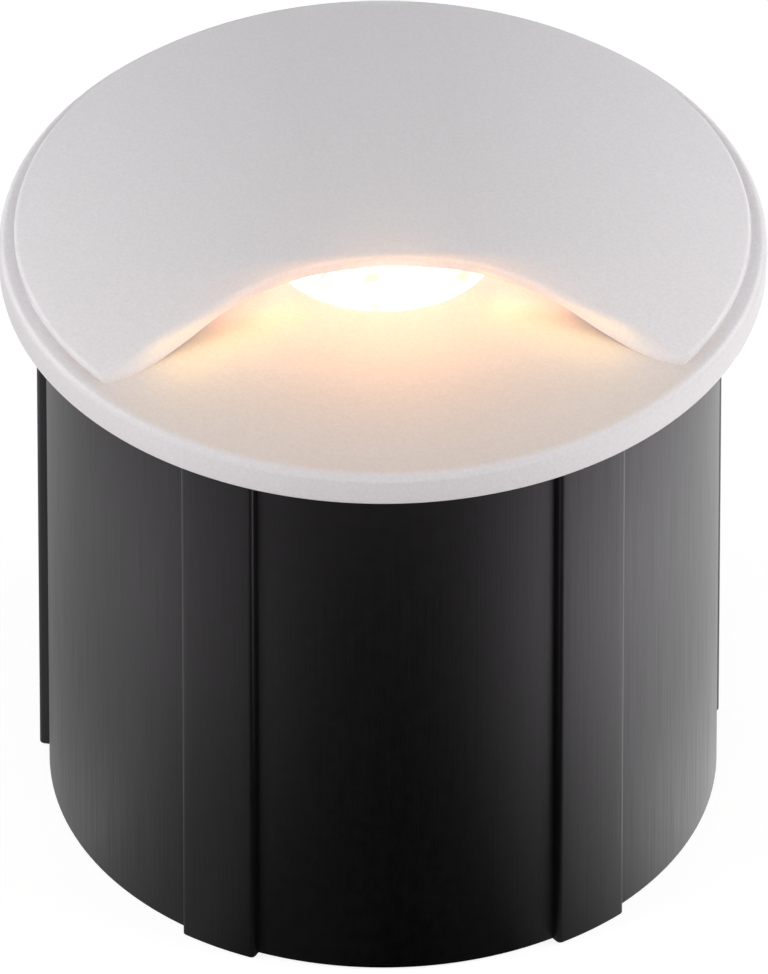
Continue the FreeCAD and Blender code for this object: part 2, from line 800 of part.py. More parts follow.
def gland_seal():
    seal_top = gland_collar_back + seal_length
    return ring(gland_pocket_radius, seal_bore_radius, gland_collar_back, seal_top)


def gland_nut():
    low = gland_collar_back - gland_nut_end
    high = gland_hex_back - slip_gap
    nut = hexagon(gland_nut_width, low, high)
    nut = nut.cut(disc(gland_collar_radius + screw_gap, gland_collar_back, high + overrun))
    return nut.cut(disc(gland_bore_radius, low - overrun, high + overrun))


def gland_washer():
    return ring(gland_washer_radius, gland_thread_radius + screw_gap, washer_back, hub_back)


def gland_locknut():
    top = cover_front + gland_locknut_height
    nut = hexagon(gland_hex_width, cover_front, top)
    return nut.cut(disc(gland_thread_radius + screw_gap, cover_front - overrun, top + overrun))


save("mounting_sleeve", [mounting_sleeve()])
save("hooded_bezel", [hooded_bezel()])
save("wall_gasket", [wall_gasket()])
save("front_lens", [front_lens()])
save("lens_gasket", [lens_gasket()])
save("lens_retainer", [lens_retainer()])
save("retainer_screws", retainer_screws())
save("reflector", [reflector()])
save("led_phosphor", [disc(phosphor_radius, substrate_front, substrate_front + phosphor_thickness)])
save("led_substrate", [block(substrate_size, substrate_size, substrate_back, substrate_front)])
save("thermal_pad", [block(thermal_pad_size, thermal_pad_size, platform_level, substrate_back)])
save("led_holder", [led_holder()])
save("led_holder_screws", holder_screws())
save("lamp_housing", [lamp_housing()])
save("housing_seal", [housing_seal()])
save("bezel_screws", bezel_screws())
for number, leaf in enumerate(on_springs(spring_clip()), 1):
    save("spring_clip_" + str(number), [leaf])
save("spring_screws", on_springs(spring_screw()))
save("driver_board", [driver_board()])
save("board_screws", board_screws())
save("driver_transformer", [transformer()])
save("driver_capacitor", [capacitor()])
save("driver_choke", [choke()])
save("driver_chip", [driver_chip()])
save("terminal_block", [terminal_block()])
save("lead_grommet", [lead_grommet()])
save("led_leads", [led_lead(-1), led_lead(1)])
save("rear_cover", [rear_cover()])
save("rear_gasket", [rear_gasket()])
save("rear_cover_screws", cover_screws())
save("gland_body", [gland_body()])
save("gland_seal", [gland_seal()])
save("gland_nut", [gland_nut()])
save("gland_washer", [gland_washer()])
save("gland_locknut", [gland_locknut()])
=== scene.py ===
import math

import bmesh
import bpy
import numpy as np
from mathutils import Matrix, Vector


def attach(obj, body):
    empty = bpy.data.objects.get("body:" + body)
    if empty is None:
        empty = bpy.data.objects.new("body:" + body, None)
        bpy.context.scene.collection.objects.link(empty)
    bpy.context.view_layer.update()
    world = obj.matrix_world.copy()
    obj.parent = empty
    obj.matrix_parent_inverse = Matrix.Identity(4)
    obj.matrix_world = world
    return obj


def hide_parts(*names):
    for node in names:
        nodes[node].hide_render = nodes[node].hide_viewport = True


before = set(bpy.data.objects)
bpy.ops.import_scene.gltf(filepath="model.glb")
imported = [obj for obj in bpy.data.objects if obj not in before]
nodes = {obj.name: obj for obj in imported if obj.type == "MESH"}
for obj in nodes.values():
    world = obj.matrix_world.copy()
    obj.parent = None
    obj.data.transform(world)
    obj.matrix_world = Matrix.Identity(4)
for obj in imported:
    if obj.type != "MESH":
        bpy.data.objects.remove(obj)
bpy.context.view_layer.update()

scene = bpy.context.scene
scene.view_settings.view_transform = "Standard"

# The camera stands in front of the mouth and looks down at the face, far off with a long lens,
# because the uprights of the sleeve do not draw together in the photograph.
camera_distance = 3.3
camera_turn = math.radians(-2.9)
camera_rise = math.radians(39.0)
camera_target = Vector((0.0001, 0, 0.0363))
frame_height_at_target = 0.1021


def way_to(turn, rise):
    """The direction at an angle round from the mouth's side and an angle above the floor."""
    return Vector((math.sin(turn) * math.cos(rise), -math.cos(turn) * math.cos(rise), math.sin(rise)))


def looking_back(way):
    """The turn of a camera or a lamp that stands out in that direction and looks back along it."""
    return (-way).to_track_quat("-Z", "Y").to_euler()


camera_way = way_to(camera_turn, camera_rise)
camera_data = bpy.data.cameras.new("camera")
camera_data.sensor_fit = "VERTICAL"
camera_data.sensor_height = 36.0
camera_data.lens = camera_data.sensor_height * camera_distance / frame_height_at_target
camera_data.clip_end = 10.0
camera = bpy.data.objects.new("camera", camera_data)
camera.location = camera_target + camera_way * camera_distance
camera.rotation_euler = looking_back(camera_way)
scene.collection.objects.link(camera)
scene.camera = camera

# The studio: a white sweep that the light stands on, even light from all round, a soft box at
# each side and a low one in front. Gloss and glass see a brighter sky behind, to both sides.
ambient_level = 0.398
side_glow, front_glow, low_glow_share = 13.5, 0.1, 0.12
side_step, back_step, height_step = (0.25, 0.6), (-0.1, 0.4), (0.05, 0.4)
sweep_half, sweep_level = 8.0, -0.0002
sweep_white, sweep_lighting_grey, sweep_seen_grey = 0.845, 0.55, 0.3
soft_box_distance = 1.1
noise_start, noise_end = 0.3, 0.7


def worked(tree, operation, *values):
    """A number worked out by a Math node from sockets and plain numbers. COMPARE gives 1 where the
    first lies no farther from the second than the third says, and 0 beyond."""
    sum_node = tree.nodes.new("ShaderNodeMath")
    sum_node.operation = operation
    for socket, value in zip(sum_node.inputs, values):
        if isinstance(value, bpy.types.NodeSocket):
            tree.links.new(value, socket)
        else:
            socket.default_value = value
    return sum_node.outputs[0]


def spread(tree, value, low, high, start=noise_start, end=noise_end, course="LINEAR"):
    """Maps a value between start and end, by default the span of a noise, to low and high."""
    ranged = tree.nodes.new("ShaderNodeMapRange")
    ranged.interpolation_type = course
    for socket, number in (("From Min", start), ("From Max", end), ("To Min", low), ("To Max", high)):
        ranged.inputs[socket].default_value = number
    tree.links.new(value, ranged.inputs["Value"])
    return ranged.outputs["Result"]


def object_place(tree):
    """The Object coordinates, in metres from the middle of the sleeve's back."""
    return tree.nodes.new("ShaderNodeTexCoord").outputs["Object"]


def parts_of(tree, vector=None):
    """The sockets X, Y and Z of a vector, by default of the Object coordinates."""
    parts = tree.nodes.new("ShaderNodeSeparateXYZ")
    tree.links.new(vector or object_place(tree), parts.inputs[0])
    return parts.outputs


def split_by_ray(tree, lighting, seen, output):
    """Camera, mirror and glass rays get the seen shader, and the rays that light the object the other."""
    path = tree.nodes.new("ShaderNodeLightPath")
    looking = worked(tree, "MAXIMUM", path.outputs["Is Camera Ray"], path.outputs["Is Glossy Ray"])
    looking = worked(tree, "MAXIMUM", looking, path.outputs["Is Transmission Ray"])
    split = tree.nodes.new("ShaderNodeMixShader")
    tree.links.new(looking, split.inputs[0])
    tree.links.new(lighting.outputs[0], split.inputs[1])
    tree.links.new(seen.outputs[0], split.inputs[2])
    tree.links.new(split.outputs[0], tree.nodes.new(output).inputs[0])


def area_lamp(name, shape, width, depth, power, color, place, facing):
    """An area lamp, its sizes in metres and its power in watts, which no camera or mirror sees."""
    lamp_data = bpy.data.lights.new(name, "AREA")
    lamp_data.shape = shape
    lamp_data.size = width
    lamp_data.size_y = depth
    lamp_data.energy = power
    lamp_data.color = color
    lamp = bpy.data.objects.new(name, lamp_data)
    lamp.location = place
    lamp.rotation_euler = facing
    lamp.visible_camera = False
    lamp.visible_glossy = False
    scene.collection.objects.link(lamp)
    return lamp


world = bpy.data.worlds.new("studio")
scene.world = world
world.use_nodes = True
tree = world.node_tree
tree.nodes.clear()
sky_light = tree.nodes.new("ShaderNodeBackground")
sky_light.inputs["Strength"].default_value = ambient_level
sky_seen = tree.nodes.new("ShaderNodeBackground")
sky_seen.inputs["Color"].default_value = (1, 1, 1, 1)
sky_way = parts_of(tree, tree.nodes.new("ShaderNodeTexCoord").outputs["Generated"])
sideways = worked(tree, "ABSOLUTE", sky_way["X"])
at_sides = spread(tree, sideways, 1.0, side_glow, *side_step, "SMOOTHSTEP")
behind = spread(tree, sky_way["Y"], 0.0, 1.0, *back_step, "SMOOTHSTEP")
in_front = spread(tree, sky_way["Y"], front_glow, 0.0, *back_step, "SMOOTHSTEP")
high_up = spread(tree, sky_way["Z"], low_glow_share, 1.0, *height_step, "SMOOTHSTEP")
sky_glow = worked(tree, "MULTIPLY", worked(tree, "MULTIPLY", at_sides, behind), high_up)
sky_glow = worked(tree, "ADD", sky_glow, in_front)
camera_ray = tree.nodes.new("ShaderNodeLightPath").outputs["Is Camera Ray"]
tree.links.new(worked(tree, "MAXIMUM", sky_glow, camera_ray), sky_seen.inputs["Strength"])
split_by_ray(tree, sky_light, sky_seen, "ShaderNodeOutputWorld")

sweep_corners = [(x * sweep_half, y * sweep_half, sweep_level)
                 for x, y in ((-1, -1), (1, -1), (1, 1), (-1, 1))]
sweep_mesh = bpy.data.meshes.new("sweep")
sweep_mesh.from_pydata(sweep_corners, [], [range(len(sweep_corners))])
sweep = bpy.data.objects.new("sweep", sweep_mesh)
scene.collection.objects.link(sweep)
sweep_paint = bpy.data.materials.new("sweep_paint")
sweep_paint.use_nodes = True
tree = sweep_paint.node_tree
tree.nodes.clear()
sweep_lighting = tree.nodes.new("ShaderNodeBsdfDiffuse")
sweep_lighting.inputs["Color"].default_value = (sweep_lighting_grey,) * 3 + (1,)
sweep_shade = tree.nodes.new("ShaderNodeBsdfDiffuse")
sweep_shade.inputs["Color"].default_value = (sweep_seen_grey,) * 3 + (1,)
sweep_glow = tree.nodes.new("ShaderNodeEmission")
sweep_glow.inputs["Strength"].default_value = sweep_white
sweep_seen = tree.nodes.new("ShaderNodeAddShader")
tree.links.new(sweep_shade.outputs[0], sweep_seen.inputs[0])
tree.links.new(sweep_glow.outputs[0], sweep_seen.inputs[1])
split_by_ray(tree, sweep_lighting, sweep_seen, "ShaderNodeOutputMaterial")
sweep_mesh.materials.append(sweep_paint)

for box_name, turn, rise, power, width, color in (("left_box", -80, 32, 4.2, 0.7, (1, 1, 1)),
                                                  ("right_box", 80, 32, 4.3, 0.7, (1, 1, 1)),
                                                  ("front_box", 0, 5, 7.2, 0.8, (1, 0.93, 0.90))):
    box_way = way_to(math.radians(turn), math.radians(rise))
    area_lamp(box_name, "SQUARE", width, width, power, color, box_way * soft_box_distance,
              looking_back(box_way))

# A round card under the light, seen only in its gloss: dark in front, white at the right side and
# greyer at the left, by the angle about the sleeve's axis and a little by the distance from it.
card_reach, card_step, card_peak = 0.4, 6, 3.2
card_angles = (-180, -120, -100, -84, -69, -57, -46, -36, -25, 0, 20, 34, 46, 56, 66, 80, 95, 120, 180)
card_shades = (.3, .7, .8, .95, 1.0, .70, .50, .40, .12, 0, .08, .55, 1.2, 1.8, 2.2, 2.2, 1.9, 1.4, .4)
near_card, near_card_level, far_card, far_card_level = 0.05, 0.75, 0.10, 1.5


def distance_from_axis(tree, parts):
    """The distance from the sleeve's axis: the length of a vector with only the X and the Y."""
    plan = tree.nodes.new("ShaderNodeCombineXYZ")
    tree.links.new(parts["X"], plan.inputs["X"])
    tree.links.new(parts["Y"], plan.inputs["Y"])
    distance = tree.nodes.new("ShaderNodeVectorMath")
    distance.operation = "LENGTH"
    tree.links.new(plan.outputs[0], distance.inputs[0])
    return distance.outputs["Value"]


def turn_round_axis(tree, parts):
    """The angle round the sleeve's axis, 0 at the mouth's side: the arc tangent of X over minus Y."""
    return worked(tree, "ARCTAN2", parts["X"], worked(tree, "MULTIPLY", parts["Y"], -1))


rim_turns = np.radians(np.arange(0, 360, card_step))
rim = np.stack([card_reach * np.cos(rim_turns), card_reach * np.sin(rim_turns), 0 * rim_turns], -1)
card_mesh = bpy.data.meshes.new("floor_card")
card_mesh.from_pydata(rim.tolist(), [], [range(len(rim))])
card = bpy.data.objects.new("floor_card", card_mesh)
scene.collection.objects.link(card)
card_paint = bpy.data.materials.new("floor_card")
card_paint.use_nodes = True
tree = card_paint.node_tree
tree.nodes.clear()
card_place = parts_of(tree)
card_ramp = tree.nodes.new("ShaderNodeValToRGB")
for angle in card_angles[1:-1]:
    card_ramp.color_ramp.elements.new((angle + 180) / 360)
for element, shade in zip(card_ramp.color_ramp.elements, card_shades):
    element.color = (shade / card_peak,) * 3 + (1,)
turn_share = spread(tree, turn_round_axis(tree, card_place), 0, 1, -math.pi, math.pi)
tree.links.new(turn_share, card_ramp.inputs["Fac"])
card_level = spread(tree, distance_from_axis(tree, card_place), near_card_level, far_card_level,
                    near_card, far_card)
card_glow = tree.nodes.new("ShaderNodeEmission")
tree.links.new(card_ramp.outputs["Color"], card_glow.inputs["Color"])
tree.links.new(worked(tree, "MULTIPLY", card_level, card_peak), card_glow.inputs["Strength"])
tree.links.new(card_glow.outputs[0], tree.nodes.new("ShaderNodeOutputMaterial").inputs[0])
card_mesh.materials.append(card_paint)
card.visible_camera = False
card.visible_diffuse = False
card.visible_shadow = False
card.visible_transmission = False

# Mounting sleeve: an extruded aluminium tube with five raised pads, sawn to length, deburred and
# dipped satin black. The die leaves fine lines along it. Its sizes are radii and lengths in mm.
sleeve_length = 66.0
sleeve_outer, sleeve_bore = 35.2, 33.2
pad_reach, pad_half, pad_rounding = 36.3, 4.25, 0.45
pad_angles, sleeve_turn, mouth_angle = (-104.0, -33.0, 33.0, 104.0, 180.0), 1.4, -90.0
pad_turns = np.radians(np.array(pad_angles) + sleeve_turn + mouth_angle)
sleeve_deburr, deburr_middle_share = 0.12, 0.3
edge_points, top_points, gap_points = 5, 9, 30
merge_distance, crease_angle = 1e-7, math.radians(38)


def skin(name, grid, wrap_rows=False):
    """A surface from a grid of points in mm: its columns close round, and its rows do if asked.
    Points that fall together at a pole are merged, and the faces are turned outwards."""
    rows, columns = grid.shape[:2]
    row = np.arange(rows if wrap_rows else rows - 1)[:, None]
    column = np.arange(columns)[None, :]
    below, beside = (row + 1) % rows, (column + 1) % columns
    corners = [row * columns + column, row * columns + beside,
               below * columns + beside, below * columns + column]
    faces = np.stack(np.broadcast_arrays(*corners), -1).reshape(-1, 4)
    mesh = bpy.data.meshes.new(name)
    mesh.from_pydata((grid.reshape(-1, 3) / 1000).tolist(), [], faces.tolist())
    shell = bmesh.new()
    shell.from_mesh(mesh)
    bmesh.ops.remove_doubles(shell, verts=shell.verts, dist=merge_distance)
    bmesh.ops.recalc_face_normals(shell, faces=shell.faces)
    shell.to_mesh(mesh)
    shell.free()
    mesh.shade_smooth()
    mesh.set_sharp_from_angle(angle=crease_angle)
    piece = bpy.data.objects.new(name, mesh)
    scene.collection.objects.link(piece)
    return piece


def sleeve_grid():
    """Row by row the outline with its pads is carried up the outside, and a circle down the bore.
    A pad is an arc of the larger circle between two rounded edges and two straight flanks."""
    shoulder = pad_half - pad_rounding
    turn = np.linspace(0, math.pi / 2, edge_points)[:-1]
    edge = np.stack([math.sqrt(pad_reach ** 2 - shoulder ** 2) - pad_rounding * (1 - np.sin(turn)),
                     shoulder + pad_rounding * np.cos(turn)], -1)
    across = np.linspace(-shoulder, shoulder, top_points)
    top = np.stack([np.sqrt(pad_reach ** 2 - across ** 2), across], -1)
    foot_x = math.sqrt(sleeve_outer ** 2 - pad_half ** 2)
    foot_turn = math.asin(pad_half / sleeve_outer)
    pad = np.vstack([[(foot_x, -pad_half)], edge * (1, -1), top, edge[::-1]])
    pad_x = pad[:, 0] * np.cos(pad_turns[:, None]) - pad[:, 1] * np.sin(pad_turns[:, None])
    pad_y = pad[:, 0] * np.sin(pad_turns[:, None]) + pad[:, 1] * np.cos(pad_turns[:, None])
    gap = np.diff(np.append(pad_turns, pad_turns[0] + 2 * math.pi))[:, None] - 2 * foot_turn
    turn = pad_turns[:, None] + foot_turn + gap * np.linspace(0, 1, gap_points)
    outline = np.stack([np.hstack([pad_x, sleeve_outer * np.cos(turn)]),
                        np.hstack([pad_y, sleeve_outer * np.sin(turn)])], -1).reshape(-1, 2)
    reach = np.linalg.norm(outline, axis=1, keepdims=True)
    circle = outline / reach * sleeve_bore
    cut = sleeve_deburr
    soft = cut * deburr_middle_share
    levels = np.array([0, soft, cut, sleeve_length - cut, sleeve_length - soft, sleeve_length])
    inset = np.array([cut, soft, 0, 0, soft, cut])
    outside = outline[None] * (1 - inset[:, None, None] / reach[None])
    inside = circle[None] * (1 + inset[::-1, None, None] / sleeve_bore)
    plan = np.concatenate([outside, inside])
    height = np.concatenate([levels, levels[::-1]])[:, None, None]
    return np.concatenate([plan, np.broadcast_to(height, plan.shape[:2] + (1,))], -1)


def finish(name, color, roughness, **sockets):
    """Makes a material with its even values on the shader's sockets, and gives it with its tree and
    its shader."""
    made = bpy.data.materials.new(name)
    made.use_nodes = True
    shader = made.node_tree.nodes["Principled BSDF"]
    shader.inputs["Base Color"].default_value = (*color, 1)
    shader.inputs["Roughness"].default_value = roughness
    for socket, value in sockets.items():
        shader.inputs[socket.replace("_", " ")].default_value = value
    made.diffuse_color = (*color, 1)
    return made, made.node_tree, shader


def grain(tree, scale, detail=2.0, stretch=(1, 1, 1), vector=None):
    """Noise on Object coordinates, or on the vector given, stretched by the three numbers."""
    place = tree.nodes.new("ShaderNodeMapping")
    place.inputs["Scale"].default_value = stretch
    tree.links.new(vector or object_place(tree), place.inputs["Vector"])
    noise = tree.nodes.new("ShaderNodeTexNoise")
    noise.inputs["Scale"].default_value = scale
    noise.inputs["Detail"].default_value = detail
    tree.links.new(place.outputs[0], noise.inputs["Vector"])
    return noise.outputs[0]


def tinted(tree, shader, value, dark, light):
    """The base colour runs from dark to light with the value, over the span of a noise."""
    ramp = tree.nodes.new("ShaderNodeValToRGB")
    for element, place, color in zip(ramp.color_ramp.elements, (noise_start, noise_end), (dark, light)):
        element.position = place
        element.color = (*color, 1)
    tree.links.new(value, ramp.inputs["Fac"])
    tree.links.new(ramp.outputs["Color"], shader.inputs["Base Color"])


def roughened(tree, shader, value, low, high, start=noise_start, end=noise_end):
    """The roughness runs from low to high as the value goes from start to end."""
    tree.links.new(spread(tree, value, low, high, start, end), shader.inputs["Roughness"])


def raised(tree, shader, value, height, strength=1.0, under=None):
    """A bump of that height in metres, laid over another one if given."""
    bump = tree.nodes.new("ShaderNodeBump")
    bump.inputs["Distance"].default_value = height
    bump.inputs["Strength"].default_value = strength
    tree.links.new(value, bump.inputs["Height"])
    if under is not None:
        tree.links.new(under, bump.inputs["Normal"])
    tree.links.new(bump.outputs["Normal"], shader.inputs["Normal"])
    return bump.outputs["Normal"]


def along_height(tree, measure):
    """A vector of a measure of the Object coordinates, nothing, and the height. With the angle round
    the axis, lines run along a piece, and with the distance from the axis, rings run round it."""
    parts = parts_of(tree)
    vector = tree.nodes.new("ShaderNodeCombineXYZ")
    tree.links.new(measure(tree, parts), vector.inputs["X"])
    tree.links.new(parts["Z"], vector.inputs["Z"])
    return vector.outputs[0]


sleeve_black, tree, shader = finish("satin_black_extrusion", (0.0035, 0.0033, 0.0036), 0.4,
                                    Specular_IOR_Level=0.4, Specular_Tint=(1, 0.93, 1, 1))
die_lines = grain(tree, 160.0, 3.0, (1, 1, 0.35), along_height(tree, turn_round_axis))
roughened(tree, shader, die_lines, 0.36, 0.46)
tinted(tree, shader, grain(tree, 900.0), (0.0025, 0.0024, 0.0026), (0.0045, 0.0043, 0.0047))
under = raised(tree, shader, die_lines, 0.00002, 0.5)
raised(tree, shader, grain(tree, 3500.0), 0.00001, 0.5, under)

sleeve = skin("extruded_sleeve", sleeve_grid(), wrap_rows=True)
sleeve.data.materials.append(sleeve_black)
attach(sleeve, "sleeve")
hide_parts("mounting_sleeve")

# Hooded face: one die casting, a round flange with a rolled rim and a shallow domed eyelid whose
# scooped mouth is open at the front. Shot-blasted and covered with fine textured white powder.
face_level, face_back, face_reach = 69.8, 66.3, 40.0
front_rounding, back_rounding = 0.7, 0.3
lens_hole, lens_hole_bevel, lens_seat, lens_seat_depth = 12.2, 0.2, 15.2, 2.1
groove_inner, groove_outer, groove_depth = 36.9, 39.0, 1.0
hood_reach, hood_setback, hood_edge, hood_rise = 38.4, 0.9, 0.6, 4.4
border_rounding, lip_thin_rounding, lip_full_rounding, lip_under_rounding = 0.35, 0.35, 1.5, 0.15
lip_growth_start, lip_growth_width = 15.0, 9.0
hood_wall, least_wall, hollow_reach, hollow_height = 1.1, 0.1, 28.0, 7.0
skirt_reach, skirt_height, hood_sunk, hollow_blend = 34.5, 2.9, 0.05, 1.1
lip_across_shares = [0.0, 0.208, 0.36, 0.4635, 0.586, 0.695, 0.76, 0.86, 1.02]
lip_forward_shares = [0.238, 0.262, 0.317, 0.379, 0.471, 0.562, 0.597, 0.635, 0.7]
lip_means = (81, 61)
corner_shares = np.linspace(0.6, 1.0, 4001)
border_points, lip_points, wall_points = 321, 201, 6
edge_steps = np.array([0.05, 0.12, 0.22, 0.36, 0.55, 0.8, 1.1, 1.5, 2.1])
inward_shares = np.linspace(0, 1, 27)[1:] ** 1.3
hood_pole = np.array([0.0, 12.0])
floor_rings = np.linspace(13, 39, 14)


def turned_ring(profile, columns=288):
    """A profile of radius and height, turned about the axis: the radius times the cosine and the sine
    of each angle."""
    turn = np.linspace(0, 2 * math.pi, columns, endpoint=False)[None, :]
    radius, height = profile[:, 0, None], profile[:, 1, None]
    return np.stack(np.broadcast_arrays(radius * np.cos(turn), radius * np.sin(turn), height), -1)


def quarter(centre_r, centre_z, radius, start, end, steps=9):
    """Points of a circular arc in the plane of radius and height: its centre plus the radius times
    the cosine and the sine of each angle, which is given in degrees."""
    turn = np.radians(np.linspace(start, end, steps))
    return np.stack([centre_r + radius * np.cos(turn), centre_z + radius * np.sin(turn)], -1)


def crown_height(plan):
    """Height of the spherical crown over the flange, whose middle is set back from the axis. The
    ball's radius follows from the reach and the rise, and its height is the root of that radius
    squared less the distance squared."""
    reach = np.hypot(plan[..., 0], plan[..., 1] - hood_setback)
    ball = (hood_reach ** 2 + hood_rise ** 2) / (2 * hood_rise)
    return hood_edge + hood_rise - ball + np.sqrt(ball ** 2 - reach ** 2)


def blended(first, second, way):
    """The higher of two heights where way is 1 and the lower where it is -1, rounded where they meet."""
    return (first + second + way * np.sqrt((first - second) ** 2 + hollow_blend ** 2)) / 2


def hollow_level(plan):
    """Height of the hollow: the crown less the wall, inside a steeper ball and a shallow skirt. The
    distance is kept a little within the ball, so that the root exists."""
    reach = np.linalg.norm(plan, axis=-1)
    ball = (hollow_reach ** 2 + hollow_height ** 2) / (2 * hollow_height)
    steep = hollow_height - ball + np.sqrt(ball ** 2 - np.minimum(reach, ball - 1) ** 2)
    skirt = skirt_height * (1 - reach / skirt_reach)
    return np.maximum(blended(crown_height(plan) - hood_wall, blended(steep, skirt, 1), -1), -hood_sunk)


def lip_line(across):
    """Where the lip runs: straight lines between its shares, smoothed by a running mean."""
    dense = np.linspace(-1.0, 1.0, 2001)
    forward = np.interp(np.abs(dense), lip_across_shares, lip_forward_shares)
    for width in lip_means:
        ends = np.pad(forward, width // 2, mode="reflect", reflect_type="odd")
        forward = np.convolve(ends, np.full(width, 1 / width), mode="valid")
    return -hood_reach * np.interp(across / hood_reach, dense, forward)


def rolled_off(distance, rounding):
    """How far a rounded edge lies below the sharp one, at a distance inwards from it: the radius less
    the root of its square less the square of what is left to the rounding's end."""
    inside = np.clip(rounding - distance, 0, rounding)
    return rounding - np.sqrt(rounding ** 2 - inside ** 2)


def rounded_crown(plan):
    """The crown, rolled off towards its border, and towards the lip more and more to its corners."""
    across = plan[..., 0]
    step = 0.1
    slope = (lip_line(across + step) - lip_line(across - step)) / (2 * step)
    from_lip = np.maximum((plan[..., 1] - lip_line(across)) / np.sqrt(1 + slope ** 2), 0)
    share = np.clip((np.abs(across) - lip_growth_start) / lip_growth_width, 0, 1)
    rounding = lip_thin_rounding + (lip_full_rounding - lip_thin_rounding) * share ** 2 * (3 - 2 * share)
    height = crown_height(plan) - rolled_off(from_lip, rounding)
    inwards = hood_reach - np.hypot(across, plan[..., 1] - hood_setback)
    return height - rolled_off(np.maximum(inwards, 0), border_rounding)


def hood_grid():
    """The hood's outline, an arc of its border closed by the lip's line, is carried inwards to a
    point of the crown. Its rows start at a pole of the hollow, run out to the lower edge, up the
    wall, over the rounding and in to the crown's pole."""
    across = corner_shares * hood_reach
    beyond = np.hypot(across, lip_line(across) - hood_setback) - hood_reach
    corner = across[np.argmin(np.abs(beyond))]
    corner_turn = math.atan2(float(lip_line(corner)) - hood_setback, corner)
    arc = np.linspace(corner_turn, math.pi - corner_turn, border_points)
    border = np.stack([hood_reach * np.cos(arc), hood_setback + hood_reach * np.sin(arc)], -1)
    lip_x = corner * np.sin(np.linspace(-math.pi / 2, math.pi / 2, lip_points))[1:-1]
    outline = np.vstack([border, np.stack([lip_x, lip_line(lip_x)], -1)])
    way = hood_pole - outline
    depth = np.linalg.norm(way, axis=1)
    moved = np.concatenate([np.broadcast_to(edge_steps[:, None], (len(edge_steps), len(depth))),
                            edge_steps[-1] + inward_shares[:, None] * (depth - edge_steps[-1])[None]])
    plan = outline[None] + way[None] / depth[None, :, None] * moved[..., None]
    crown = rounded_crown(plan)
    hollow = np.minimum(hollow_level(plan), crown - least_wall)
    top = rounded_crown(outline)
    low = np.minimum(hollow_level(outline), top - least_wall)
    start = np.minimum(low + lip_under_rounding, top)
    wall = start + (top - start) * np.linspace(0, 1, wall_points)[:, None]
    under_turn = np.radians([80, 50, 20])[:, None]
    under = lip_under_rounding * (1 - np.sin(under_turn))
    pull = lip_under_rounding * (1 - np.cos(under_turn))
    turn_under = outline[None] + way[None] / depth[None, :, None] * pull[..., None]
    upright = np.broadcast_to(outline, (wall_points,) + outline.shape)
    plans = np.concatenate([plan[::-1], turn_under, upright, plan])
    heights = np.concatenate([hollow[::-1], low + under, wall, crown]) + face_level
    return np.concatenate([plans, heights[..., None]], -1)


def shaded(tree, shader, share, color, blend="MULTIPLY"):
    """The base colour is multiplied by another one, or mixed with it, as far as the share says. Of a
    colour mix's sockets, 0 is the share, 6 and 7 are the colours, and output 2 is the result."""
    mix = tree.nodes.new("ShaderNodeMix")
    mix.data_type = "RGBA"
    mix.blend_type = blend
    tree.links.new(share, mix.inputs[0])
    tree.links.new(shader.inputs["Base Color"].links[0].from_socket, mix.inputs[6])
    mix.inputs[7].default_value = (*color, 1)
    tree.links.new(mix.outputs[2], shader.inputs["Base Color"])


flange = np.vstack([[(lens_hole, face_back + lens_seat_depth), (lens_hole, face_level - lens_hole_bevel),
                     (lens_hole + lens_hole_bevel, face_level)],
                    np.stack([floor_rings, np.full_like(floor_rings, face_level)], -1),
                    quarter(face_reach - front_rounding, face_level - front_rounding, front_rounding, 90, 0),
                    quarter(face_reach - back_rounding, face_back + back_rounding, back_rounding, 0, -90, 5),
                    [(groove_outer, face_back), (groove_outer, face_back + groove_depth),
                     (groove_inner, face_back + groove_depth), (groove_inner, face_back),
                     (lens_seat, face_back), (lens_seat, face_back + lens_seat_depth)]])

# Where painted light and shade change the powder's colour, in metres of the Object coordinates: a painted
# warm shade, darker and in the lamp's colour, on the floor of the mouth, and a painted shade along the
# middle of the face.
floor_edge, floor_top = (0.0387, 0.0394), (0.0699, 0.0704)
painted_warm_shade_fade, painted_middle_shade_fade = (-0.026, -0.012), (0.008, 0.036)
powder_white, tree, shader = finish("textured_white_powder", (0.80, 0.78, 0.80), 0.55)
speckle = grain(tree, 3000.0, 2.0)
cloud = grain(tree, 420.0, 3.0)
peel = grain(tree, 1100.0, 1.0)
tinted(tree, shader, speckle, (0.80, 0.777, 0.80), (0.86, 0.835, 0.86))
place = parts_of(tree)
# Painted warm shade: the powder on the mouth's floor is darkened and warmed for the lamp's light and the
# hood's shade there.
on_floor = worked(tree, "MULTIPLY", spread(tree, distance_from_axis(tree, place), 1, 0, *floor_edge),
                  spread(tree, place["Z"], 1, 0, *floor_top))
painted_warm_shade = worked(tree, "MULTIPLY", on_floor, spread(tree, place["Y"], 1, 0, *painted_warm_shade_fade))
shaded(tree, shader, painted_warm_shade, (0.945, 0.895, 0.835))
# Painted shade: the middle of the face is darkened, leaving its sides lighter, for how the side light falls
# on the crown.
from_middle = worked(tree, "ABSOLUTE", place["X"])
shaded(tree, shader, spread(tree, from_middle, 1, 0, *painted_middle_shade_fade), (0.86, 0.86, 0.86))
roughened(tree, shader, speckle, 0.5, 0.62)
under = raised(tree, shader, cloud, 0.00008, 0.5)
under = raised(tree, shader, peel, 0.00006, 0.5, under)
raised(tree, shader, speckle, 0.00006, 0.5, under)

# The hood stands on the flange, and both skins go into one mesh, because they are one casting.
face = skin("hooded_face", turned_ring(flange), wrap_rows=True)
hood = skin("hood_shell", hood_grid())
joint_mesh = bmesh.new()
joint_mesh.from_mesh(face.data)
joint_mesh.from_mesh(hood.data)
joint_mesh.to_mesh(face.data)
joint_mesh.free()
bpy.data.objects.remove(hood)
face.data.set_sharp_from_angle(angle=crease_angle)
face.data.materials.append(powder_white)
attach(face, "lamp")
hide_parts("hooded_bezel")
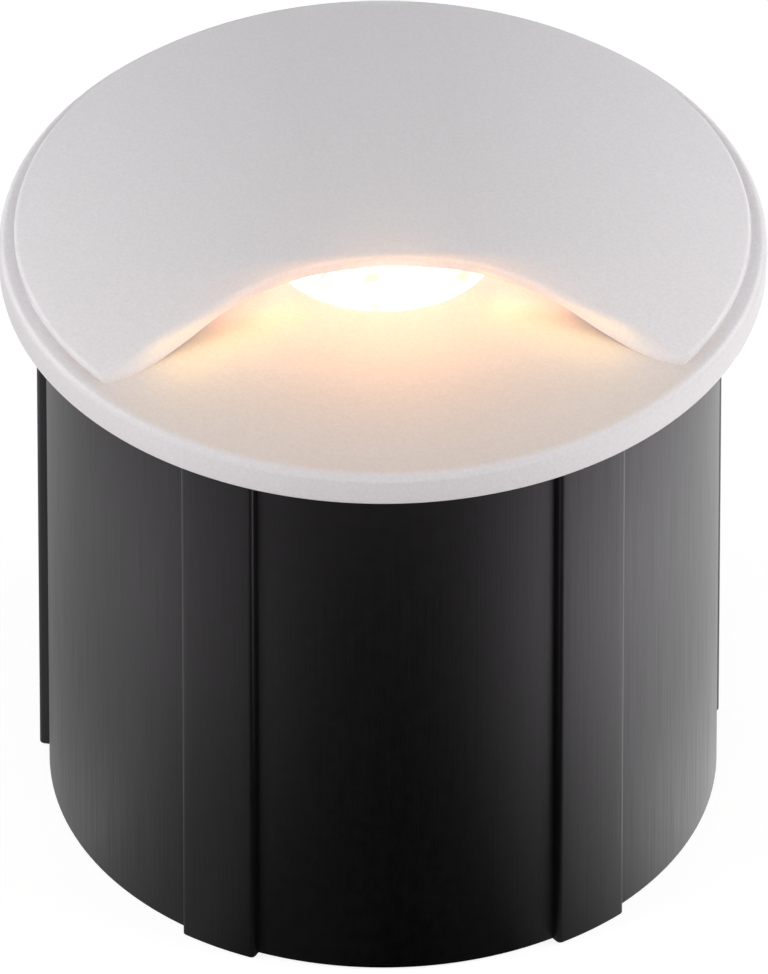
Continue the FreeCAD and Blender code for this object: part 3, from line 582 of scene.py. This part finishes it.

# Front lens: pressed glass with a low domed front and a flange held behind the face. With the lamp
# on it is almost white, a painted glow of the source's light through the glass, and a few of the facets
# pressed into it glow weaker and a little yellow.
lens_reach, lens_rise, lens_flange, lens_flange_front = 12.0, 0.9, 15.0, 67.6
lens_hollow_reach, lens_hollow_depth = 9.0, 1.2
lens_columns, hollow_rings, front_rings = 96, 16, 24
facet_scale, dark_facets, light_facets = 640.0, 0.05, 0.12
dark_facet_power, light_facet_power = 0.3, 1.25


def cap(reach, rise, base, steps):
    """Radius and height of a spherical cap, from its rim to its pole. The height is the root of the
    ball's radius squared less the distance squared."""
    ball = (reach ** 2 + rise ** 2) / (2 * rise)
    radius = reach * np.linspace(1, 0, steps)
    return np.stack([radius, base + rise - ball + np.sqrt(ball ** 2 - radius ** 2)], -1)


def cells(tree, scale, kind="F1"):
    """The sockets of a pattern of cells on Object coordinates: the distance to the middle of the
    nearest cell, or to its edge, and a colour for each cell."""
    pattern = tree.nodes.new("ShaderNodeTexVoronoi")
    pattern.feature = kind
    pattern.inputs["Scale"].default_value = scale
    tree.links.new(object_place(tree), pattern.inputs["Vector"])
    return pattern.outputs


lens_profile = np.vstack([cap(lens_hollow_reach, lens_hollow_depth, face_back, hollow_rings)[::-1],
                          [(lens_flange, face_back), (lens_flange, lens_flange_front),
                           (lens_reach, lens_flange_front)],
                          cap(lens_reach, lens_rise, face_level, front_rings)])
lit_glass, tree, shader = finish("lit_pressed_glass", (0.55, 0.50, 0.42), 0.08, Transmission_Weight=0.4)
facets = cells(tree, facet_scale)
facet_shade = parts_of(tree, facets["Color"])["X"]
# Painted light: the glass glows, weaker and yellower on some facets, for the light of the source shining
# through it.
facet_glow = tree.nodes.new("ShaderNodeValToRGB")
facet_glow.color_ramp.elements[0].position = dark_facets
facet_glow.color_ramp.elements[0].color = (1.0, 0.88, 0.62, 1)
facet_glow.color_ramp.elements[1].position = light_facets
facet_glow.color_ramp.elements[1].color = (1.0, 0.97, 0.93, 1)
tree.links.new(facet_shade, facet_glow.inputs["Fac"])
tree.links.new(facet_glow.outputs["Color"], shader.inputs["Emission Color"])
facet_power = spread(tree, facet_shade, dark_facet_power, light_facet_power, dark_facets, light_facets)
tree.links.new(facet_power, shader.inputs["Emission Strength"])
raised(tree, shader, facets["Distance"], 0.0003, 0.4)
lens = skin("pressed_lens", turned_ring(lens_profile, lens_columns))
lens.data.materials.append(lit_glass)
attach(lens, "lamp")
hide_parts("front_lens")

# The light that leaves the lens: warm, thrown up into the hollow and sent out through the mouth. It
# is made by small lamps that belong to the lamp body and slide out of the sleeve with it.
for light_name, width, depth, power, color, place, tilt, turn in (
        ("led_light", 0.023, 0.023, 0.0033, (1.0, 0.57, 0.28), (0, 0, 0.0708), 180, 0),
        ("mouth_light", 0.018, 0.002, 0.0027, (1.0, 0.41, 0.05), (0, -0.0112, 0.0805), 66, 0),
        ("left_mouth_light", 0.018, 0.002, 0.00033, (1.0, 0.57, 0.03), (-0.0170, -0.0160, 0.0738), 38, 33),
        ("right_mouth_light", 0.018, 0.002, 0.00030, (1.0, 0.57, 0.03), (0.0168, -0.0157, 0.0738), 38, -33),
        ("left_hollow_light", 0.011, 0.006, 0.00023, (1.0, 0.42, 0.25), (-0.0158, -0.0097, 0.0715), 0, 0),
        ("right_hollow_light", 0.011, 0.006, 0.00028, (1.0, 0.42, 0.25), (0.0165, -0.0102, 0.0715), 0, 0),
        ("lip_light", 0.010, 0.003, 0.00008, (1.0, 0.47, 0.12), (0, -0.0105, 0.0787), -50, 0)):
    lit = area_lamp(light_name, "ELLIPSE" if width == depth else "RECTANGLE", width, depth, power, color,
                    place, (math.radians(tilt), 0, math.radians(180 + turn)))
    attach(lit, "lamp")


def dressed(paint, *names):
    """The CAD pieces named get this paint on all their faces."""
    for name in names:
        nodes[name].data.materials.clear()
        nodes[name].data.materials.append(paint)


foam_grey, tree, shader = finish("closed_cell_foam", (0.11, 0.11, 0.115), 0.92, Sheen_Weight=0.15)
bubbles = cells(tree, 2600.0)["Distance"]
tinted(tree, shader, bubbles, (0.075, 0.075, 0.08), (0.14, 0.14, 0.145))
raised(tree, shader, bubbles, 0.00015, 0.8)
dressed(foam_grey, "wall_gasket")

# Lens gasket: a flat ring of clear silicone between the lens flange and the seat behind the face.
# It is punched from sheet and squeezed by the retainer.
clear_silicone, tree, shader = finish("clear_silicone", (0.74, 0.74, 0.72), 0.38, Transmission_Weight=0.35)
cloudy = grain(tree, 700.0, 3.0)
tinted(tree, shader, cloudy, (0.68, 0.68, 0.66), (0.79, 0.79, 0.77))
roughened(tree, shader, cloudy, 0.32, 0.46)
raised(tree, shader, grain(tree, 2400.0), 0.00002, 0.5)
dressed(clear_silicone, "lens_gasket")

# Lens retainer: a ring moulded in black plastic in a spark-eroded mould, which leaves it matt.
# Three screws pull it up against the flange of the lens.
matt_black, tree, shader = finish("spark_eroded_black", (0.022, 0.022, 0.023), 0.55)
eroded = grain(tree, 4200.0, 3.0)
tinted(tree, shader, eroded, (0.017, 0.017, 0.018), (0.028, 0.028, 0.029))
roughened(tree, shader, eroded, 0.48, 0.64)
raised(tree, shader, eroded, 0.00004, 0.7)
dressed(matt_black, "lens_retainer")

# Screws of the retainer, source, board, springs, cover and face: cold-headed stainless steel with
# rolled threads, a little duller where the driver and the dies have marked them.
screw_steel, tree, shader = finish("headed_stainless_steel", (0.60, 0.59, 0.57), 0.3, Metallic=1.0)
handled = grain(tree, 1500.0, 4.0)
tinted(tree, shader, handled, (0.52, 0.51, 0.49), (0.66, 0.65, 0.63))
roughened(tree, shader, handled, 0.22, 0.42)
raised(tree, shader, grain(tree, 5200.0), 0.00001, 0.5)
dressed(screw_steel, "retainer_screws", "led_holder_screws", "bezel_screws", "spring_screws",
        "board_screws", "rear_cover_screws")

# Reflector: a cup spun from bright aluminium that gathers the light of the source to the lens. The
# spinning tool leaves fine rings round it.
spun_aluminium, tree, shader = finish("spun_aluminium", (0.90, 0.90, 0.90), 0.14, Metallic=1.0)
tool_rings = grain(tree, 2600.0, 2.0, vector=along_height(tree, distance_from_axis))
tinted(tree, shader, tool_rings, (0.86, 0.86, 0.86), (0.93, 0.93, 0.93))
roughened(tree, shader, tool_rings, 0.10, 0.20)
raised(tree, shader, tool_rings, 0.00002, 0.5)
dressed(spun_aluminium, "reflector")

# Light source: a round drop of yellow phosphor in silicone on a square of white ceramic, which lies
# on a soft pad that carries the heat into the housing. The drop glows while the lamp is on.
lit_phosphor, tree, shader = finish("lit_phosphor", (0.93, 0.68, 0.18), 0.45, Emission_Strength=2.0)
shader.inputs["Emission Color"].default_value = (1.0, 0.72, 0.36, 1)
powdery = grain(tree, 3800.0, 3.0)
tinted(tree, shader, powdery, (0.88, 0.62, 0.14), (0.96, 0.74, 0.24))
raised(tree, shader, powdery, 0.00003, 0.5)
dressed(lit_phosphor, "led_phosphor")

fired_ceramic, tree, shader = finish("fired_ceramic", (0.84, 0.84, 0.82), 0.35)
fired = grain(tree, 2800.0, 4.0)
tinted(tree, shader, fired, (0.79, 0.79, 0.77), (0.88, 0.88, 0.86))
roughened(tree, shader, fired, 0.28, 0.44)
raised(tree, shader, fired, 0.00001, 0.5)
dressed(fired_ceramic, "led_substrate")

heat_pad, tree, shader = finish("filled_heat_pad", (0.42, 0.47, 0.55), 0.8)
filler = cells(tree, 3400.0)["Distance"]
tinted(tree, shader, filler, (0.36, 0.41, 0.49), (0.48, 0.53, 0.61))
raised(tree, shader, filler, 0.00004, 0.6)
dressed(heat_pad, "thermal_pad")

# Source holder: a ring moulded in white heat-proof plastic. Two screws press it on the ceramic, and
# the plastic has left faint streaks where it flowed.
moulded_white, tree, shader = finish("moulded_white", (0.80, 0.80, 0.78), 0.45)
flow = grain(tree, 260.0, 2.0, (1, 1, 0.4))
tinted(tree, shader, flow, (0.77, 0.77, 0.745), (0.83, 0.83, 0.81))
roughened(tree, shader, flow, 0.40, 0.52)
raised(tree, shader, grain(tree, 4600.0), 0.00002, 0.5)
dressed(moulded_white, "led_holder")

# Lamp housing and rear cover: die-cast aluminium, tumbled until the edges are soft. The skin of the
# casting is cloudy, with small pits.
cast_aluminium, tree, shader = finish("tumbled_casting", (0.52, 0.52, 0.53), 0.45, Metallic=1.0)
cast_cloud = grain(tree, 140.0, 4.0)
tumbled = grain(tree, 2400.0, 3.0)
tinted(tree, shader, cast_cloud, (0.46, 0.46, 0.475), (0.58, 0.58, 0.59))
roughened(tree, shader, cast_cloud, 0.38, 0.54)
under = raised(tree, shader, tumbled, 0.00005, 0.6)
raised(tree, shader, cells(tree, 900.0, "SMOOTH_F1")["Distance"], 0.00004, 0.3, under)
dressed(cast_aluminium, "lamp_housing", "rear_cover")

# Rubber pieces: the housing's ring, the bush of the leads, the cover's sheet, and the seal and the
# washer of the cable gland. Black, moulded or cut, dusted with talc.
talced_rubber, tree, shader = finish("talced_rubber", (0.028, 0.028, 0.029), 0.75, Sheen_Weight=0.2)
talc = grain(tree, 650.0, 5.0)
tinted(tree, shader, talc, (0.021, 0.021, 0.022), (0.042, 0.042, 0.043))
roughened(tree, shader, talc, 0.66, 0.88)
raised(tree, shader, grain(tree, 3600.0, 3.0), 0.00003, 0.6)
dressed(talced_rubber, "housing_seal", "lead_grommet", "rear_gasket", "gland_seal", "gland_washer")

# Leaf springs: three strips of rolled spring steel, bowed and tempered, that grip the sleeve. The
# rolling lines run along them, and the tempering leaves a straw tint.
rolled_strip, tree, shader = finish("rolled_spring_strip", (0.50, 0.50, 0.51), 0.28, Metallic=1.0)
rolling = grain(tree, 3000.0, 2.0, (1, 1, 0.02))
tempered = grain(tree, 90.0, 2.0)
tinted(tree, shader, tempered, (0.50, 0.47, 0.42), (0.52, 0.52, 0.54))
roughened(tree, shader, rolling, 0.20, 0.36)
raised(tree, shader, rolling, 0.00001, 0.6)
dressed(rolled_strip, "spring_clip_1", "spring_clip_2", "spring_clip_3")

# Driver board: a board of glass cloth and resin under green solder resist, which stands up over the
# copper. Screws hold it on three standoffs.
copper_edge = (0.10, 0.14)
solder_resist, tree, shader = finish("green_solder_resist", (0.03, 0.20, 0.09), 0.3)
copper_gaps = cells(tree, 330.0, "DISTANCE_TO_EDGE")["Distance"]
copper_areas = spread(tree, copper_gaps, 0, 1, *copper_edge)
tinted(tree, shader, copper_areas, (0.018, 0.135, 0.058), (0.04, 0.24, 0.11))
roughened(tree, shader, grain(tree, 1800.0), 0.24, 0.38)
raised(tree, shader, copper_areas, 0.00003, 0.6)
dressed(solder_resist, "driver_board")

# Transformer: a winding under yellow tape, held in a dark ferrite core with a clamp across it. Like
# the other parts of the supply it is soldered to the driver board.
core_middle, core_half = -0.0090, 0.0030
wound_tape, tree, shader = finish("tape_and_ferrite", (0.74, 0.52, 0.07), 0.4)
tape_laps = grain(tree, 1500.0, 2.0, (0.05, 0.05, 1))
on_core = worked(tree, "COMPARE", parts_of(tree)["X"], core_middle, core_half)
tinted(tree, shader, tape_laps, (0.64, 0.44, 0.05), (0.78, 0.56, 0.09))
shaded(tree, shader, on_core, (0.045, 0.045, 0.048), "MIX")
roughened(tree, shader, on_core, 0.36, 0.65, 0, 1)
raised(tree, shader, tape_laps, 0.00004, 0.6)
dressed(wound_tape, "driver_transformer")

# Capacitor: an aluminium can in a dark blue shrink sleeve with a pale stripe down one side. Its
# bare end shows behind the sleeve.
can_end_level, stripe_x, stripe_y, stripe_half, stripe_edge = 0.0280, 0.0128, 0.0100, 0.0013, 0.0001
shrink_sleeve, tree, shader = finish("shrink_sleeve", (0.02, 0.035, 0.11), 0.25)
crinkle = grain(tree, 500.0, 2.0, (1, 1, 0.3))
tinted(tree, shader, crinkle, (0.015, 0.028, 0.09), (0.026, 0.044, 0.13))
can_place = parts_of(tree)
on_stripe = worked(tree, "MULTIPLY", worked(tree, "COMPARE", can_place["Y"], stripe_y, stripe_half),
                   spread(tree, can_place["X"], 0, 1, stripe_x, stripe_x + stripe_edge))
shaded(tree, shader, on_stripe, (0.62, 0.63, 0.65), "MIX")
bare_end = spread(tree, can_place["Z"], 1, 0, can_end_level, can_end_level + stripe_edge)
shaded(tree, shader, bare_end, (0.70, 0.70, 0.71), "MIX")
tree.links.new(bare_end, shader.inputs["Metallic"])
roughened(tree, shader, bare_end, 0.24, 0.36, 0, 1)
raised(tree, shader, crinkle, 0.00003, 0.4)
dressed(shrink_sleeve, "driver_capacitor")

# Choke: a ferrite ring wound with enamelled copper wire. The turns lie side by side round the ring,
# and a little of the dark ferrite shows between them.
choke_middle, choke_turns, wire_edge = (0.0120, -0.0030, 0), 26, (-0.7, -0.3)
wound_choke, tree, shader = finish("copper_winding", (0.62, 0.27, 0.10), 0.3)
centred = tree.nodes.new("ShaderNodeMapping")
centred.vector_type = "TEXTURE"
centred.inputs["Location"].default_value = choke_middle
tree.links.new(object_place(tree), centred.inputs["Vector"])
ring_place = parts_of(tree, centred.outputs[0])
ring_angle = worked(tree, "ARCTAN2", ring_place["Y"], ring_place["X"])
wires = worked(tree, "COSINE", worked(tree, "MULTIPLY", ring_angle, choke_turns))
on_wire = spread(tree, wires, 0, 1, *wire_edge)
tinted(tree, shader, on_wire, (0.045, 0.045, 0.048), (0.70, 0.30, 0.11))
tree.links.new(spread(tree, on_wire, 0, 0.9, 0, 1), shader.inputs["Metallic"])
roughened(tree, shader, on_wire, 0.6, 0.26, 0, 1)
raised(tree, shader, wires, 0.0002, 0.7)
dressed(wound_choke, "driver_choke")

# Driver chip: moulded in black epoxy that is filled with fine sand, which leaves it matt. It lies
# flat on the board.
black_epoxy, tree, shader = finish("moulded_epoxy", (0.018, 0.018, 0.019), 0.6)
filled = grain(tree, 6000.0, 3.0)
tinted(tree, shader, filled, (0.013, 0.013, 0.014), (0.025, 0.025, 0.026))
roughened(tree, shader, filled, 0.52, 0.68)
raised(tree, shader, filled, 0.00002, 0.6)
dressed(black_epoxy, "driver_chip")

# Terminal block: moulded in green plastic with three poles for the wires of the supply. It is
# glossier than the retainer, with faint streaks of flow.
terminal_green, tree, shader = finish("moulded_green", (0.05, 0.31, 0.14), 0.36)
streaks = grain(tree, 420.0, 3.0, (1, 1, 0.25))
tinted(tree, shader, streaks, (0.04, 0.27, 0.12), (0.06, 0.35, 0.16))
roughened(tree, shader, streaks, 0.30, 0.44)
raised(tree, shader, grain(tree, 4200.0), 0.00002, 0.5)
dressed(terminal_green, "terminal_block")

# Leads of the light source: two short wires in silicone insulation, one red and one black, that
# pass through the bush from the driver to the source.
lead_parting = (-0.0001, 0.0001)
lead_silicone, tree, shader = finish("lead_silicone", (0.50, 0.03, 0.025), 0.5)
waxy = grain(tree, 1700.0, 3.0)
tinted(tree, shader, waxy, (0.43, 0.025, 0.02), (0.56, 0.04, 0.03))
shaded(tree, shader, spread(tree, parts_of(tree)["X"], 0, 1, *lead_parting), (0.02, 0.02, 0.021), "MIX")
roughened(tree, shader, waxy, 0.44, 0.58)
raised(tree, shader, waxy, 0.00002, 0.5)
dressed(lead_silicone, "led_leads")

# Cable gland: body, nut and locknut turned from brass and nickelled. The cutting tool leaves fine
# rings round the thread axis, which is the lamp's own.
nickelled_brass, tree, shader = finish("nickelled_brass", (0.66, 0.62, 0.54), 0.24, Metallic=1.0)
turning = grain(tree, 3400.0, 2.0, vector=along_height(tree, distance_from_axis))
thin_plate = grain(tree, 200.0, 3.0)
tinted(tree, shader, thin_plate, (0.66, 0.59, 0.46), (0.69, 0.66, 0.60))
roughened(tree, shader, turning, 0.18, 0.32)
raised(tree, shader, turning, 0.00001, 0.6)
dressed(nickelled_brass, "gland_body", "gland_nut", "gland_locknut")
